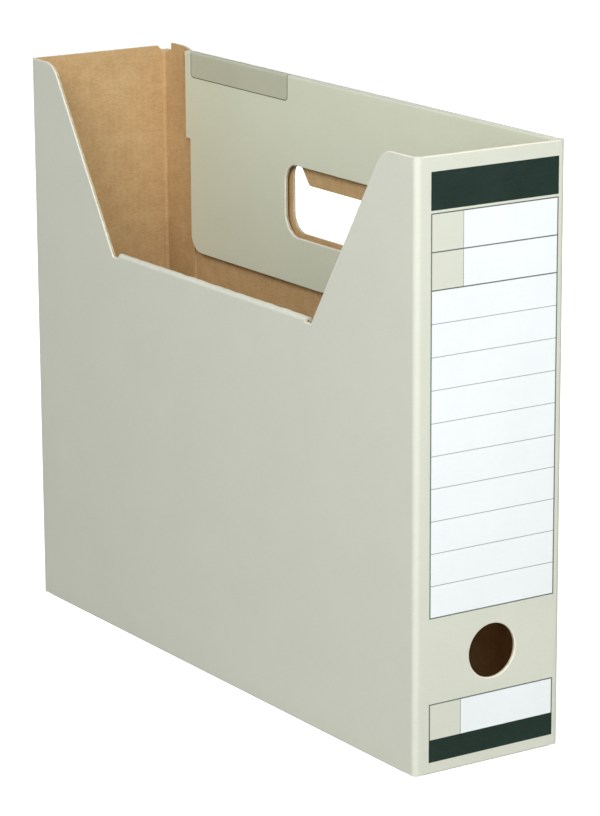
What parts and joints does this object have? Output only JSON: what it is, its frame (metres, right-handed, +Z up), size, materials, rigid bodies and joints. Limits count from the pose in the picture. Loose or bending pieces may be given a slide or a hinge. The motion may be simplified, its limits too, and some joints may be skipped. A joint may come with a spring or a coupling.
{
  "type": "file box",
  "caption": "Open-topped landscape file box of folded corrugated board, with a loading notch, a doubled hand hole and a finger hole in its spine.",
  "frame": {"origin": "middle of the footprint, on the surface that the box stands on", "axes": "+X from the back panel towards the labelled spine, +Y from the notched near side towards the hand-hole side, +Z up"},
  "size_m": [0.318, 0.076, 0.2664],
  "materials": {
    "printed_board": "matt print on micro-flute board",
    "kraft_board": "bare brown kraft liner"
  },
  "bodies": {
    "box": {"near_side_panel": "printed_board", "far_side_panel": "printed_board", "spine_panel": "printed_board", "back_panel": "printed_board", "near_spine_crease": "printed_board", "far_spine_crease": "printed_board", "near_back_crease": "printed_board", "glue_lap_crease": "kraft_board", "glue_lap": "kraft_board", "top_fold": "printed_board", "notch_fold": "printed_board", "near_base_flap": "printed_board", "far_base_flap": "printed_board", "near_glue_tab": "printed_board", "far_glue_tab": "printed_board", "spine_base_flap": "kraft_board", "back_base_flap": "kraft_board", "near_base_crease": "printed_board", "far_base_crease": "printed_board", "spine_base_crease": "printed_board", "back_base_crease": "printed_board"},
    "top_flap": {"top_inner_flap": "printed_board"},
    "lip_flap": {"notch_lip_flap": "printed_board"}
  },
  "joints": [
    {"name": "top_flap_hinge", "type": "hinge", "parent": "box", "child": "top_flap", "pos_m": [0, 0.03575, 0.26511], "axis": [-1, 0, 0], "range_deg": [0, 46], "deforming": ["top_fold"]},
    {"name": "lip_flap_hinge", "type": "hinge", "parent": "box", "child": "lip_flap", "pos_m": [-0.0018, -0.036, 0.18346], "axis": [1, 0, 0], "range_deg": [0, 180], "deforming": ["notch_fold"]}
  ]
}
